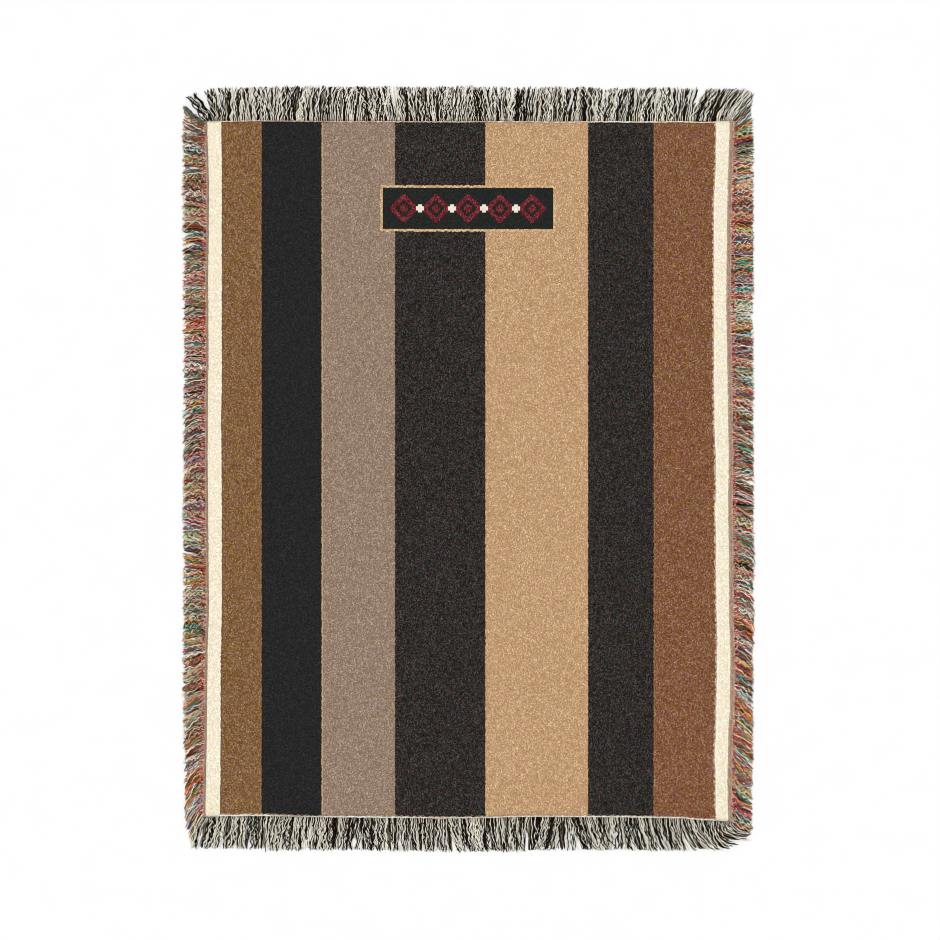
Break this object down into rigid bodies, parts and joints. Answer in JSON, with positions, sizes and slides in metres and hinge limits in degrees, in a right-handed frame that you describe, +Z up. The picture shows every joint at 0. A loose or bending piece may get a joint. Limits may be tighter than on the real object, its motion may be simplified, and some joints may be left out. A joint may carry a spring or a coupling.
{
  "type": "fringed woven throw blanket",
  "caption": "Flat lengthwise-striped cotton throw blanket, woven in one piece, with cut yarn fringe along every edge, laid out face up to cover a bed, sofa or floor.",
  "frame": {"origin": "middle of the underside, on the surface that the throw lies on, centred on the whole outline with its fringes", "axes": "+X across the stripes, +Y along the stripes towards the end with the small panel, +Z up out of the face"},
  "size_m": [1.3778, 1.8412, 0.003],
  "materials": {
    "woven_cloth": "matt jacquard-woven cotton, speckled yarn floats in lengthwise stripes of cream, brown, charcoal, taupe and tan",
    "end_fringe": "matt cotton yarn ends, charcoal and cream side by side, crimped and falling into tufts",
    "side_fringe": "matt cotton yarn ends in mixed reds, pink, orange, ochre, greens, blues, cream and charcoal, kinked and overlapping"
  },
  "bodies": {
    "root": {"throw_body": "woven_cloth", "fringe_top": "end_fringe", "fringe_bottom": "end_fringe", "fringe_left": "side_fringe", "fringe_right": "side_fringe"}
  },
  "joints": []
}
